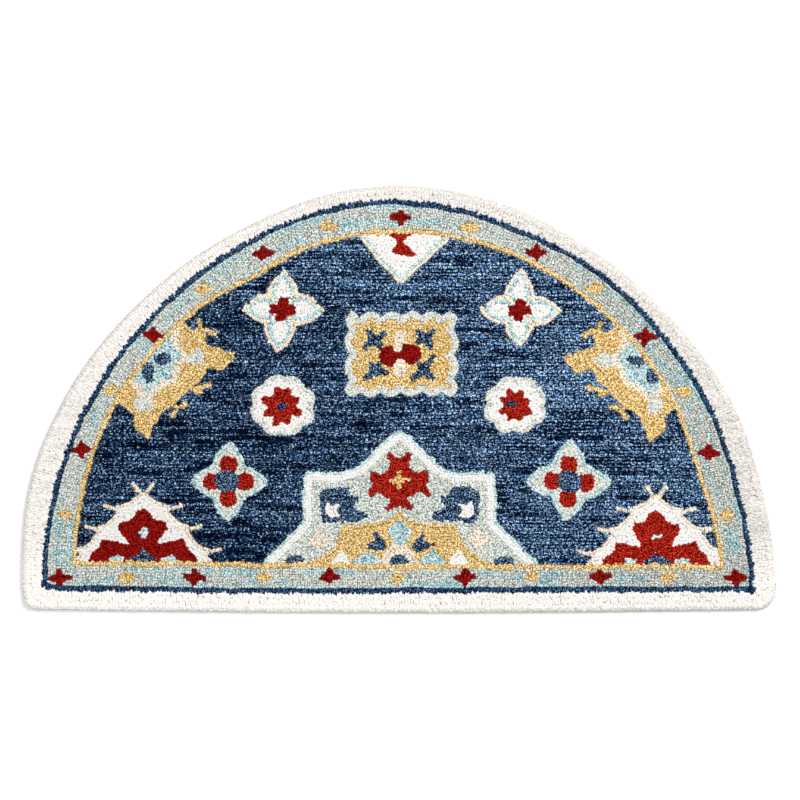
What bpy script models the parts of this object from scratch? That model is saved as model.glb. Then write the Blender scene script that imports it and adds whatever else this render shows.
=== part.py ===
# Half-moon hearth rug of tufted wool, lying flat on the floor.
#
# Metres, +Z up. The straight edge runs along X and faces -Y, and the bow rises
# towards +Y. The underside lies on z = 0, with the origin under the middle of
# the rug's box. Pile, backing and turned rim are one cloth, so one solid.

import math

import bmesh
import bpy

COLLECTION_NAME = "half_moon_rug"
RUG_NAME = "tufted_rug"

# Driving sizes.
RUG_THICKNESS = 0.012
PILE_ROUNDING = 0.0055      # how far the pile rolls over at the rim
HEM_ROUNDING = 0.0012       # the turned edge of the backing, under the rim

# The bow is a flattened ellipse about the foot point, where its two ends come down.
BOW_HALF_LENGTH = 0.5838
BOW_RISE = 0.6160
BOW_POWER = 1.93            # 2 is a true ellipse, and less is flatter on the diagonals
BOW_STEPS = 84

# Below the foot point the sides draw in a little, round the corners and meet the
# straight edge, which sags outwards at the middle.
SIDE_DROP = 0.0405          # foot point to the lowest line of the straight edge
SIDE_DRAW_IN = 0.0020
LEFT_CORNER_RADIUS = 0.020
RIGHT_CORNER_RADIUS = 0.027
CORNER_STEPS = 5
EDGE_SAG = 0.0045
EDGE_STEPS = 14

# Where the hand-cut bow swells out of the plain curve, or draws in. Each row gives
# the angle from the right-hand end in degrees, the swell outwards in metres, and
# the reach to each side in degrees.
BOW_SWELLS = (
    {"angle": 12.0, "swell": -0.0040, "reach": 8.0},
    {"angle": 30.0, "swell": 0.0035, "reach": 8.0},
    {"angle": 46.0, "swell": -0.0020, "reach": 7.0},
    {"angle": 62.0, "swell": -0.0010, "reach": 6.0},
    {"angle": 76.0, "swell": 0.0030, "reach": 5.0},
    {"angle": 88.0, "swell": 0.0045, "reach": 5.0},
    {"angle": 100.0, "swell": 0.0045, "reach": 5.0},
    {"angle": 128.0, "swell": 0.0025, "reach": 7.5},
    {"angle": 146.0, "swell": 0.0080, "reach": 8.0},
    {"angle": 163.0, "swell": 0.0110, "reach": 8.0},
)

WOOL_COLOUR = (0.165, 0.205, 0.300, 1.0)
WOOL_ROUGHNESS = 0.95

ROUNDING_SEGMENTS = 3
SHARP_ANGLE = math.radians(50.0)

# Tolerances of the mesh work.
MERGE_DISTANCE = 0.00001
FLAT_ANGLE = math.radians(0.5)
RIM_ANGLE = math.radians(30.0)


def clear_scene():
    for existing in list(bpy.context.scene.objects):
        bpy.data.objects.remove(existing, do_unlink=True)


def bow_radius(angle):
    """Distance from the foot point to the rim, in the direction of angle."""
    along = (abs(math.cos(angle)) / BOW_HALF_LENGTH) ** BOW_POWER
    across = (abs(math.sin(angle)) / BOW_RISE) ** BOW_POWER
    radius = (along + across) ** (-1.0 / BOW_POWER)
    for row in BOW_SWELLS:
        away = (math.degrees(angle) - row["angle"]) / row["reach"]
        radius += row["swell"] * math.exp(-0.5 * away * away)
    return radius


def bow_points():
    """The bow from its right-hand end over the top to its left-hand end."""
    points = []
    for step in range(BOW_STEPS + 1):
        angle = math.pi * step / BOW_STEPS
        radius = bow_radius(angle)
        points.append((radius * math.cos(angle), radius * math.sin(angle)))
    return points


def corner_points(side_x, direction, corner_y, radius):
    """A rounded corner from the side down into the straight edge.

    direction is -1 for the left corner and +1 for the right one.
    """
    centre_x = side_x - direction * radius
    centre_y = corner_y + radius
    points = []
    for step in range(CORNER_STEPS + 1):
        turn = 0.5 * math.pi * step / CORNER_STEPS
        x = centre_x + direction * radius * math.cos(turn)
        y = centre_y - radius * math.sin(turn)
        points.append((x, y))
    return points


def straight_edge_points(left_x, right_x, corner_y):
    """The straight edge between the corners, sagging outwards at the middle."""
    points = []
    for step in range(1, EDGE_STEPS):
        share = step / EDGE_STEPS
        x = left_x + (right_x - left_x) * share
        y = corner_y - EDGE_SAG * math.sin(math.pi * share)
        points.append((x, y))
    return points


def rug_outline():
    """The whole outline, anticlockwise, centred on the middle of its own box."""
    bow = bow_points()
    corner_y = -SIDE_DROP + EDGE_SAG
    left_side = bow[-1][0] + SIDE_DRAW_IN
    right_side = bow[0][0] - SIDE_DRAW_IN
    left_corner = corner_points(left_side, -1, corner_y, LEFT_CORNER_RADIUS)
    right_corner = corner_points(right_side, 1, corner_y, RIGHT_CORNER_RADIUS)
    edge = straight_edge_points(left_corner[-1][0], right_corner[-1][0], corner_y)
    outline = bow + left_corner + edge + list(reversed(right_corner))

    middle_x = 0.5 * (min(x for x, _ in outline) + max(x for x, _ in outline))
    middle_y = 0.5 * (min(y for _, y in outline) + max(y for _, y in outline))
    return [(x - middle_x, y - middle_y) for x, y in outline]


def flat_slab_mesh(name, outline):
    """A flat slab of the rug's thickness, from a filled and extruded outline."""
    curve = bpy.data.curves.new(name + "_outline", "CURVE")
    curve.dimensions = "2D"
    curve.fill_mode = "BOTH"
    curve.extrude = 0.5 * RUG_THICKNESS
    spline = curve.splines.new("POLY")
    spline.points.add(len(outline) - 1)
    for point, (x, y) in zip(spline.points, outline):
        point.co = (x, y, 0.0, 1.0)
    spline.use_cyclic_u = True

    guide = bpy.data.objects.new(name + "_guide", curve)
    bpy.context.scene.collection.objects.link(guide)
    graph = bpy.context.evaluated_depsgraph_get()
    mesh = bpy.data.meshes.new_from_object(guide.evaluated_get(graph))
    bpy.data.objects.remove(guide, do_unlink=True)
    bpy.data.curves.remove(curve)
    mesh.name = name
    return mesh


def is_inside_flat_face(edge):
    """True for an edge that the outline's fill left inside the top or underside."""
    return len(edge.link_faces) == 2 and edge.calc_face_angle(0.0) < FLAT_ANGLE


def is_rim(edge):
    """True for an edge between a flat face and the side wall."""
    heights = [vert.co.z for vert in edge.verts]
    return edge.calc_face_angle(0.0) > RIM_ANGLE and abs(heights[0] - heights[1]) < MERGE_DISTANCE


def close_slab(mesh):
    """Weld the slab, lift it onto the floor and weigh its two rims for rounding."""
    work = bmesh.new()
    work.from_mesh(mesh)
    bmesh.ops.remove_doubles(work, verts=work.verts, dist=MERGE_DISTANCE)
    bmesh.ops.translate(work, verts=work.verts, vec=(0.0, 0.0, 0.5 * RUG_THICKNESS))
    bmesh.ops.dissolve_edges(work, edges=[edge for edge in work.edges if is_inside_flat_face(edge)])
    bmesh.ops.recalc_face_normals(work, faces=work.faces)

    weights = work.edges.layers.float.new("bevel_weight_edge")
    for edge in work.edges:
        if not is_rim(edge):
            continue
        is_upper = edge.verts[0].co.z > 0.5 * RUG_THICKNESS
        edge[weights] = 1.0 if is_upper else HEM_ROUNDING / PILE_ROUNDING
    work.to_mesh(mesh)
    work.free()


def wool_material():
    material = bpy.data.materials.new("tufted_wool")
    material.use_nodes = True
    material.diffuse_color = WOOL_COLOUR
    shader = material.node_tree.nodes["Principled BSDF"]
    shader.inputs["Base Color"].default_value = WOOL_COLOUR
    shader.inputs["Roughness"].default_value = WOOL_ROUGHNESS
    shader.inputs["Metallic"].default_value = 0.0
    return material


def make_rug(collection):
    mesh = flat_slab_mesh(RUG_NAME, rug_outline())
    close_slab(mesh)
    mesh.materials.clear()
    mesh.materials.append(wool_material())

    rug = bpy.data.objects.new(RUG_NAME, mesh)
    collection.objects.link(rug)

    rounding = rug.modifiers.new("pile_rounding", "BEVEL")
    rounding.limit_method = "WEIGHT"
    rounding.width = PILE_ROUNDING
    rounding.segments = ROUNDING_SEGMENTS
    mesh.shade_smooth()
    mesh.set_sharp_from_angle(angle=SHARP_ANGLE)


def main():
    clear_scene()
    collection = bpy.data.collections.new(COLLECTION_NAME)
    bpy.context.scene.collection.children.link(collection)
    make_rug(collection)


main()
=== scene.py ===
import math
from functools import partial

import bpy
import numpy as np
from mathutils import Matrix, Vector
from mathutils.geometry import delaunay_2d_cdt


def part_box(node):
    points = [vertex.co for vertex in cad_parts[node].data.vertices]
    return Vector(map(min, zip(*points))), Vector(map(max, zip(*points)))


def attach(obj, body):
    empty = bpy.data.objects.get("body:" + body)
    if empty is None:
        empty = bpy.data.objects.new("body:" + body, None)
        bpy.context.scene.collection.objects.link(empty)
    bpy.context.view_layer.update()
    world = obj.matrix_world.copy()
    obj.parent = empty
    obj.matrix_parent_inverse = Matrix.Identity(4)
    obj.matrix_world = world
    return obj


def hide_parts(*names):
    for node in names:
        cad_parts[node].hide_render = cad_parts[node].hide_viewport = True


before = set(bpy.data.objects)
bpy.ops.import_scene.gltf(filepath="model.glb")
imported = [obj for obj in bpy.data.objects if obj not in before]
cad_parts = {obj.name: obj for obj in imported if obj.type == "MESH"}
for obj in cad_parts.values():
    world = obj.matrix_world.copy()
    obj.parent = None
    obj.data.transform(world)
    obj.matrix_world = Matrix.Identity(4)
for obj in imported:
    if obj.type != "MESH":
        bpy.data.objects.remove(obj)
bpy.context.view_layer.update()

rugNode = "tufted_rug"
boxLow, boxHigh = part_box(rugNode)

# The whole pattern is charted in millimetres from the middle of the rug,
# x along the straight edge and y towards the top of the bow.
mm = 0.001
left, right = boxLow.x / mm, boxHigh.x / mm
lowest, highest = boxLow.y / mm, boxHigh.y / mm


# yarns

# Each yarn's body is the dyed wool, light and deep are the paler and darker fibres spun into it,
# with their shares. drift is how far one loop's tone strays from the next, crease shade how much
# of a loop's side gets painted shade, its deep colour darkened as the shade between crowded loops,
# and plump how far a loop swells.
yarnColumns = ("body", "light", "deep", "lightShare", "deepShare", "drift", "creaseShade", "plump")
yarns = {
    "ivory": ((240, 236, 230), (252, 249, 245), (224, 215, 207), 0.34, 0.24, 0.02, 0.5, 1.0),
    "white": ((230, 227, 223), (241, 239, 236), (206, 202, 196), 0.30, 0.20, 0.025, 0.45, 1.2),
    "pearl": ((206, 208, 200), (236, 237, 232), (154, 158, 150), 0.32, 0.28, 0.09, 0.55, 1.1),
    "stone": ((202, 208, 200), (236, 240, 235), (134, 142, 134), 0.32, 0.34, 0.14, 0.60, 1.05),
    "mist": ((192, 211, 209), (232, 241, 239), (118, 162, 168), 0.34, 0.30, 0.12, 0.64, 1.12),
    "aqua": ((157, 192, 195), (222, 234, 233), (88, 139, 148), 0.34, 0.30, 0.14, 0.6, 1.1),
    "peach": ((230, 215, 196), (248, 241, 229), (184, 162, 134), 0.36, 0.30, 0.09, 0.64, 1.12),
    "gold": ((214, 181, 110), (247, 230, 182), (166, 114, 38), 0.38, 0.40, 0.12, 0.6, 1.08),
    "red": ((130, 11, 8), (164, 38, 31), (82, 0, 0), 0.26, 0.30, 0.12, 0.86, 1.15),
    "brick": ((157, 19, 10), (201, 72, 51), (94, 1, 0), 0.26, 0.38, 0.12, 0.84, 1.12),
    "navy": ((40, 86, 134), (187, 214, 234), (0, 8, 39), 0.25, 0.41, 0.36, 0.98, 1.0),
    "lineBlue": ((26, 57, 97), (106, 148, 184), (1, 11, 32), 0.22, 0.40, 0.28, 0.96, 1.0),
    "inkBlue": ((40, 71, 106), (156, 184, 208), (0, 10, 36), 0.26, 0.42, 0.34, 0.94, 1.05),
}
yarnNumber = {name: number for number, name in enumerate(yarns)}


# a 0-255 screen colour as a linear colour
def linear(rgb):
    share = np.asarray(rgb, float) / 255.0
    return np.where(share <= 0.04045, share / 12.92, ((share + 0.055) / 1.055) ** 2.4)


# one column of the yarns' table for each loop
def yarnValues(kind, column):
    values = np.array([yarn[yarnColumns.index(column)] for yarn in yarns.values()])
    return (linear(values) if values.ndim == 2 else values)[kind]


# hand-made unevenness

# smooth noise from -1 to 1, with bumps about size millimetres across
def softNoise(x, y, size, seed):
    u, v = np.asarray(x, float) / size, np.asarray(y, float) / size
    u0, v0 = np.floor(u).astype(np.int64), np.floor(v).astype(np.int64)
    fu, fv = u - u0, v - v0
    fu, fv = fu * fu * (3 - 2 * fu), fv * fv * (3 - 2 * fv)

    def corner(i, j):
        mixed = (i * 374761393 + j * 668265263 + seed * 974634777) & 0xFFFFFFFF
        mixed = ((mixed ^ (mixed >> 13)) * 1274126177) & 0xFFFFFFFF
        return ((mixed ^ (mixed >> 16)) & 0xFFFF) / 32767.5 - 1.0

    low = corner(u0, v0) * (1 - fu) + corner(u0 + 1, v0) * fu
    high = corner(u0, v0 + 1) * (1 - fu) + corner(u0 + 1, v0 + 1) * fu
    return low * (1 - fv) + high * fv


# noise that runs along rows, its own in each
def rowNoise(x, row, size, seed, apart=97.0):
    return softNoise(x, row * apart, size, seed)


wobble = {"reach": 1.7, "size": 26.0, "fineReach": 0.8, "fineSize": 7.0}


# the points, moved a little as a hand-held tufting gun strays from its line
def handDrawn(points, share=1.0):
    x, y = points.T
    strays = [wobble["reach"] * softNoise(x, y, wobble["size"], seed)
              + wobble["fineReach"] * softNoise(x, y, wobble["fineSize"], seed + 1) for seed in (11, 13)]
    return points + share * np.stack(strays, 1)


# outlines

# points every step millimetres along a line through corners
def walked(corners, step, closed=True):
    corners = np.asarray(corners, float)
    if closed:
        corners = np.vstack([corners, corners[:1]])
    reach = np.hypot(*np.diff(corners, axis=0).T)
    along = np.concatenate([[0.0], np.cumsum(reach)])
    count = max(int(round(along[-1] / step)), 3)
    at = np.linspace(0.0, along[-1], count + (0 if closed else 1), endpoint=not closed)
    return np.stack([np.interp(at, along, corners[:, 0]), np.interp(at, along, corners[:, 1])], 1)


# a closed outline from its right half, which runs from its top to its foot
def mirrored(half):
    points = np.asarray(half, float)
    return np.vstack([points, points[::-1] * (-1, 1)])


# the same points on the right and on the left
def bothSides(points):
    return [np.asarray(points, float) * (side, 1) for side in (1, -1)]


# an outline in its own measure, scaled, turned by degrees and set down at (x, y)
def placed(corners, x, y, turn=0.0, scale=1.0):
    px, py = (np.asarray(corners, float) * scale).T
    c, s = math.cos(math.radians(turn)), math.sin(math.radians(turn))
    return np.stack([x + px * c - py * s, y + px * s + py * c], 1)


# a flower or star about (x, y): its radius swings between tip and notch
def lobed(x, y, tip, notch, lobes, turn=0.0, power=1.0, stretch=1.0, uneven=0.0):
    angles = np.linspace(0.0, 2 * math.pi, 96, endpoint=False)
    radius = notch + (tip - notch) * np.abs(np.cos(0.5 * lobes * angles)) ** power
    radius = radius * (1.0 + uneven * softNoise(x + 2 * np.cos(angles), y + 2 * np.sin(angles), 1.0, 17))
    heading = angles + math.radians(turn)
    return np.stack([x + radius * np.cos(heading), y + stretch * radius * np.sin(heading)], 1)


def oval(x, y, halfWidth, halfHeight, turn=0.0):
    angles = np.linspace(0.0, 2 * math.pi, 36, endpoint=False)
    return placed(np.stack([halfWidth * np.cos(angles), halfHeight * np.sin(angles)], 1), x, y, turn)


def block(x, y, halfWidth, halfHeight):
    return [(x - halfWidth, y - halfHeight), (x + halfWidth, y - halfHeight),
            (x + halfWidth, y + halfHeight), (x - halfWidth, y + halfHeight)]


# a rectangle with bumps along its sides and on its corners
def scalloped(x, y, halfWidth, halfHeight, across, down, swell):
    sides = [(-1, 1, 1, 1, across), (1, 1, 1, -1, down), (1, -1, -1, -1, across), (-1, -1, -1, 1, down)]
    points = []
    for x0, y0, x1, y1, bumps in sides:
        for share in np.linspace(0.0, 1.0, 8 * bumps, endpoint=False):
            out = swell * abs(math.cos(math.pi * bumps * share))
            px, py = halfWidth * (x0 + (x1 - x0) * share), halfHeight * (y0 + (y1 - y0) * share)
            points.append((x + px, y + py + y0 * out) if y0 == y1 else (x + px + x0 * out, y + py))
    return points


# a cross or star with an arm to each tip, given as steps from (x, y) in turn round it
def crossed(x, y, tips, waist, blunt):
    corners = []
    for (ax, ay), (bx, by) in zip(tips, tips[1:] + tips[:1]):
        reach = math.hypot(ax, ay)
        sx, sy = -0.5 * blunt * ay / reach, 0.5 * blunt * ax / reach
        corners += [(x + ax - sx, y + ay - sy), (x + ax + sx, y + ay + sy)]
        mx, my = ax / reach + bx / math.hypot(bx, by), ay / reach + by / math.hypot(bx, by)
        middle = math.hypot(mx, my)
        corners.append((x + waist * mx / middle, y + waist * my / middle))
    return corners


footLine = -288.0         # the level of the foot point, about which the bow's lines turn
straightBelow = -262.0    # the border below this level runs along the straight edge
navyBow = {
    "halfLength": 546.5, "rise": 590.5, "power": 1.944, "from": -1.0, "to": 180.0,
    "swells": [(14, -5, 8), (71, -4, 6), (98, 3, 6), (158, 4, 14)],
}
goldBow = {
    "halfLength": 501.5, "rise": 547.0, "power": 1.985, "from": 3.2, "to": 176.4,
    "swells": [(20, -10, 9), (115, -8, 5), (146, 9, 11), (165, 5, 8)],
}
navyStraight = [(-549.0, -289.0), (-500.0, -292.5), (-250.0, -296.5), (0.0, -296.5), (300.0, -294.5),
                (550.0, -294.0)]
goldStraight = [(-501.5, -254.5), (-300.0, -255.5), (0.0, -259.5), (300.0, -259.5), (498.0, -259.0)]


def bowRadius(bow, angle):
    power = bow["power"]
    radius = ((abs(math.cos(angle)) / bow["halfLength"]) ** power
              + (abs(math.sin(angle)) / bow["rise"]) ** power) ** (-1.0 / power)
    for at, swell, reach in bow["swells"]:
        radius += swell * math.exp(-0.5 * ((math.degrees(angle) - at) / reach) ** 2)
    return radius


# one of the lines that follow the bow, over the top from right to left
def bowLine(bow):
    angles = np.radians(np.linspace(bow["from"], bow["to"], 200))
    radius = np.array([bowRadius(bow, angle) for angle in angles])
    return np.stack([radius * np.cos(angles), footLine + radius * np.sin(angles)], 1)


# the rug's rim, from the frame

# The rug's outline in millimetres, read from the widest ring of the solid: the points
# between two shares of its height, in turn round a point below the rug's middle.
def rimFromFrame(low=0.05, high=0.6, middle=-100.0, apart=1.0):
    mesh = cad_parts[rugNode].data
    points = np.array([vert.co[:] for vert in mesh.vertices]) / mm
    height = points[:, 2]
    wall = points[(height > low * height.max()) & (height < high * height.max())][:, :2]
    order = np.argsort(np.arctan2(wall[:, 1] - middle, wall[:, 0]))
    ring = []
    for index in order:
        if not ring or np.hypot(*(wall[index] - ring[-1])) > apart:
            ring.append(wall[index])
    return np.array(ring)


rugRim = walked(rimFromFrame(), 5.0)
print("rim read from the frame:", len(rugRim), "points")


# shapes, and what lies under a point

# for each point the distance to the nearest stretch of a line of points, and for
# a closed outline also whether the point lies inside
def distanceTo(path, points, closed):
    a, b = (path, np.roll(path, -1, 0)) if closed else (path[:-1], path[1:])
    ab = b - a
    lengths = np.maximum((ab * ab).sum(1), 1e-9)
    rise = np.where(np.abs(ab[:, 1]) < 1e-9, 1e-9, ab[:, 1])
    distance, inside = np.empty(len(points)), np.zeros(len(points), bool)
    for start in range(0, len(points), 2000):
        px, py = points[start:start + 2000].T[:, :, None]
        dx, dy = px - a[:, 0], py - a[:, 1]
        t = np.clip((dx * ab[:, 0] + dy * ab[:, 1]) / lengths, 0.0, 1.0)
        reach = (dx - t * ab[:, 0]) ** 2 + (dy - t * ab[:, 1]) ** 2
        distance[start:start + 2000] = np.sqrt(reach.min(1))
        if closed:
            changes = (a[:, 1] > py) != (b[:, 1] > py)
            inside[start:start + 2000] = (changes & (dx < dy * ab[:, 0] / rise)).sum(1) % 2 == 1
    return distance, inside


# how far each point lies inside a closed outline, negative outside
def depthInside(outline, points):
    distance, inside = distanceTo(outline, points, True)
    return np.where(inside, distance, -distance)


chart = []      # the pattern's shapes, in the order in which they cover each other


# A closed area. bands are (how deep it starts, yarn), from the edge inwards, and
# rows are the depths of the rows of loops that follow its edge. fine is the size of
# those loops, and fuzz how far its yarn strays over its edge.
def area(corners, *bands, rows=(2.6,), hole=None, step=2.5, fine=1.0, fuzz=0.0):
    chart.append({"outline": handDrawn(walked(corners, step)), "bands": bands, "rows": rows, "hole": hole,
                  "fine": fine, "fuzz": fuzz})


# areas that are all of one yarn
def plain(outlines, yarn, **how):
    for outline in outlines:
        area(outline, (0.0, yarn), **how)


# a line of one row of loops, width long across it and pitch apart
def line(corners, width, yarn, pitch):
    path = handDrawn(walked(corners, 2.5, closed=False), 0.5)
    chart.append({"path": path, "width": width, "pitch": pitch, "bands": ((0.0, yarn),)})


# whatever draw charts goes into one piece of the pile
def into(pile, draw, *given, **how):
    start = len(chart)
    draw(*given, **how)
    for shape in chart[start:]:
        shape["pile"] = pile


def depthIn(shape, points):
    edge = shape.get("outline", shape.get("path"))
    margin = shape.get("width", 0.0)
    near = ((points >= edge.min(0) - margin) & (points <= edge.max(0) + margin)).all(1)
    depth = np.full(len(points), -1e3)      # far outside
    if not near.any():
        return depth
    if "path" in shape:
        depth[near] = 0.5 * shape["width"] - distanceTo(edge, points[near], False)[0]
        return depth
    depth[near] = depthInside(edge, points[near])
    if shape["hole"] is not None:
        depth[near] = np.minimum(depth[near], -depthInside(shape["hole"], points[near]))
    return depth + shape["fuzz"] * softNoise(*points.T, 3.6, 91)


# for each point, the number of its yarn and of the shape that it lies in
def yarnAt(points):
    yarn, owner = np.zeros((2, len(points)), int)
    for number, shape in enumerate(chart):
        depth = depthIn(shape, points)
        for start, name in shape["bands"]:
            covered = depth > start
            yarn[covered] = yarnNumber[name]
            owner[covered] = number
    return yarn, owner


# the pattern: what stands in the field

# A petal lies along its own x, from the heart of the flower to a tip at 1.
pointedPetal = [(0.38, -0.38), (0.56, -0.34), (0.76, -0.22), (1.0, 0.0), (0.76, 0.22), (0.56, 0.34)]
pointedCore = [(0.18, -0.13), (0.34, -0.26), (0.54, -0.25), (0.72, -0.16), (0.91, 0.0),
               (0.72, 0.16), (0.54, 0.25), (0.34, 0.26), (0.18, 0.13)]
roundPetal = [(0.42, -0.42), (0.62, -0.36), (0.84, -0.21), (1.02, -0.04), (1.02, 0.04), (0.84, 0.21),
              (0.62, 0.36)]
petalHeart = [(12, -11), (30, -14), (37, -9), (39, 0), (37, 9), (30, 14), (12, 11)]


# the outline of a flower, its petals given as (heading, length)
def flowerOutline(x, y, petals, petal):
    return np.vstack([placed(petal, x, y, heading, length) for heading, length in petals])


whiteFlowers = [
    {"x": -181, "y": 139, "petals": [(-2, 66), (87, 63), (177, 64), (263, 68)],
     "tips": [(20, 0), (3, 19), (-20, 0), (-4, -18)]},
    {"x": 186, "y": 137, "petals": [(0, 66), (89, 64), (179, 63), (267, 59)],
     "tips": [(18, 1), (5, 16), (-17, -2), (-1, -16)]},
]


# four pointed petals with a peach edge and a pale aqua line, round a red cross
def chartWhiteFlower(flower, waist=10.5, blunt=15.0):
    x, y = flower["x"], flower["y"]
    area(flowerOutline(x, y, flower["petals"], pointedPetal), (0.0, "peach"), fuzz=0.8)
    for heading, length in flower["petals"]:
        area(placed(pointedCore, x, y, heading, length), (-0.6, "mist"), (1.2, "aqua"), (3.8, "mist"),
             (5.6, "white"), rows=(2.2,), fuzz=1.6)
    area(crossed(x, y, flower["tips"], waist, blunt), (0.0, "red"), fine=0.8)


rosettes = [
    {"rim": (-180.0, -10.5, 52.0, 46.0, 8, 20.0, 0.7, 0.92, 0.03),
     "star": (-181.5, -11.0, 32.0, 21.5, 8, 24.0, 1.8, 1.0, 0.16), "eye": (-182.0, -11.5, 9.0, 5.0, 30.0)},
    {"rim": (178.5, -10.0, 49.5, 43.5, 8, 20.0, 0.7, 0.94, 0.03),
     "star": (178.0, -10.0, 29.5, 19.5, 8, 22.0, 1.8, 1.0, 0.16), "eye": (173.0, -6.5, 9.0, 5.0)},
]


# a white wheel with a scalloped pearl rim, and a red star with a blue eye
def chartRosette(rosette):
    area(lobed(*rosette["rim"]), (0.0, "pearl"), (6.5, "white"), fuzz=2.0)
    area(lobed(*rosette["star"]), (0.0, "brick"), fine=0.8)
    area(oval(*rosette["eye"]), (0.0, "lineBlue"), rows=())


redFlowers = [
    {"x": -265.0, "y": -127.5, "petals": [(0, 59), (87, 60), (180, 57), (272, 60)],
     "boss": (-266.5, -127.0, 19.0, 18.0)},
    {"x": 262.5, "y": -128.0, "petals": [(-2, 63), (89, 64), (180, 65), (266, 60)],
     "boss": (263.0, -128.0, 19.0, 17.0)},
]


# four broad petals edged with pale aqua, each with a red heart, round a blue boss
def chartRedFlower(flower):
    x, y = flower["x"], flower["y"]
    area(flowerOutline(x, y, flower["petals"], roundPetal), (0.0, "aqua"), (2.8, "mist"), (5.6, "pearl"),
         rows=(2.6, 8.0), fuzz=1.4)
    plain([placed(petalHeart, x, y, heading) for heading, _ in flower["petals"]], "brick")
    area(oval(*flower["boss"]), (0.0, "inkBlue"))


pendant = {
    "tip": (0.0, 180.0), "lean": -4.5,
    "half": [(76, 84), (68, 68), (52, 51), (38, 34), (24, 20), (12, 8), (4, 0)],
    "hourglass": [(-14, 268), (-18, 257), (-12, 249), (-1, 243), (-6, 234), (-11, 224), (4, 222), (28, 221),
                  (17, 232), (5, 241), (12, 250), (25, 257), (28, 268)],
}


# the white pendant under the top of the bow, with a red hourglass
def chartPendant(p):
    outline = placed(mirrored(p["half"]), *p["tip"], p["lean"])
    area(outline, (0.0, "peach"), (5.5, "mist"), (8.0, "white"), rows=(2.6, 7.4))
    area(p["hourglass"], (0.0, "brick"), fine=0.8)


panel = {
    "outline": (3.0, 69.5, 80.0, 58.0, 5, 3, 8.5),     # place, half sizes, bumps across and down, their swell
    "rim": 10.5,
    "bars": [(0, 88, 8.5, 17), (0, 49, 9.5, 15)],
    "leaves": [(-38, 91, [(17, 13), (-11, 15), (-17, -16), (11, -14)]),
               (38, 95, [(17, 14), (-14, 13), (-16, -8), (14, -19)]),
               (-38, 45, [(11, 13), (-9, 14), (-19, -14), (21, -6)]),
               (37, 46, [(17, 21), (-10, 11), (-20, -15), (18, -16)])],
    "leafWaist": 8.5, "leafBlunt": 5.5,
    "bow": [(0, 5), (7, 9), (9, 18), (24, 14), (33, 4), (30, -10), (14, -18), (8, -12), (6, -5), (0, -5)],
    "bowPlace": (0, 68, 8),
}


# the scalloped gold panel, with four leaves and a red bow on a peach bar
def chartPanel(p):
    area(scalloped(*p["outline"]), (0.0, "pearl"), (p["rim"], "gold"), rows=(2.4, 6.2), fuzz=0.8)
    plain([block(*bar) for bar in p["bars"]], "peach", rows=(3.0,), fuzz=0.6)
    plain([crossed(*leaf, p["leafWaist"], p["leafBlunt"]) for leaf in p["leaves"]], "inkBlue", fine=0.8)
    area(placed(mirrored(p["bow"]), *p["bowPlace"]), (0.0, "red"), fine=0.85)


# The half medallions that grow from the bow, charted for the right side: one gold
# shape with twigs at its edge, an aqua heart in a peach halo, two stone spots and
# two blue leaves.
sideMedallion = {
    "places": [(1, 0.0), (-1, 4.0)],    # side, and how far up
    "body": [(330, 112), (320, 103), (300, 103), (298, 94), (303, 86), (293, 78), (276, 76), (271, 70),
             (256, 70), (255, 59), (266, 50), (272, 41), (283, 40), (289, 45), (299, 44), (302, 34),
             (310, 22), (320, 17), (328, 6), (345, -9), (354, -17), (370, -29), (374, -41), (382, -47),
             (384, -59), (389, -69), (396, -59), (406, -54), (412, -44), (408, -29), (421, -19), (434, -11),
             (455, -8), (440, 60), (370, 120)],
    "twigs": [[(284, 96), (296, 103), (312, 104)], [(306, 104), (311, 119)],
              [(291, 18), (303, 15), (322, 12)], [(308, 5), (318, 12)],
              [(328, -12), (342, -17), (352, -31)], [(342, -17), (358, -10)]],
    "twigWidth": 8.0, "twigPitch": 3.2,
    "halo": [(338, 107), (343, 87), (328, 70), (324, 54), (338, 45), (343, 22), (365, 14), (382, -1),
             (396, -3), (409, 12), (424, 22), (405, 75), (360, 112)],
    "haloWidth": 10.0,
    "spots": [(314, 60, 14, 12), (394, -12, 14, 14)],
    "leaves": [(366, 58, 14.5, 9.0, -8.0), (390, 36, 9.5, 14.5, -12.0)],
}


def chartSideMedallion(place):
    side, rise = place
    m = sideMedallion

    def here(outlines):
        return [np.asarray(points, float) * (side, 1) + (0, rise) for points in outlines]

    plain(here([m["body"]]), "gold")
    for twig in here(m["twigs"]):
        line(twig, m["twigWidth"], "gold", m["twigPitch"])
    area(here([m["halo"]])[0], (0.0, "peach"), (m["haloWidth"], "aqua"), rows=(), fuzz=2.0)
    plain(here([oval(*spot) for spot in m["spots"]]), "pearl", rows=(), fuzz=4.5)
    plain(here([oval(*leaf) for leaf in m["leaves"]]), "inkBlue", rows=())


# The triangles in the two corners of the field, from the middle of their foot: a
# white tent with a peach edge, a fork on its top and hooks down its sides, filled
# by a red flower.
cornerTriangle = {
    "places": [{"x": -396.0, "y": -258.0, "flower": "red", "eye": (0, 50, 6, 10, -6)},
               {"x": 396.5, "y": -262.0, "flower": "brick", "eye": (0, 49, 7.5, 3.2, 14)}],
    "tent": [(5, 114), (15, 104), (26, 97), (46, 92), (40, 82), (56, 67), (75, 61), (69, 54), (86, 33),
             (104, 25), (99, 17), (118, -8)],
    "hooks": [[(0, 108), (16, 127)], [(26, 92), (44, 89), (60, 93)], [(55, 63), (74, 58), (89, 61)],
              [(86, 28), (104, 22), (119, 26)]],
    "hookWidth": 6.8, "hookPitch": 3.0,
    "flower": [(0, 90), (9, 86), (14, 76), (23, 70), (35, 68), (38, 59), (32, 49), (25, 42), (22, 33),
               (40, 38), (62, 43), (67, 28), (80, 18), (90, -4)],
    "mound": [(0, 27), (5, 20), (12, 15), (20, 11), (22, -2)],
    "shell": (40, 8, 11.5, 8.5),
}


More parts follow.
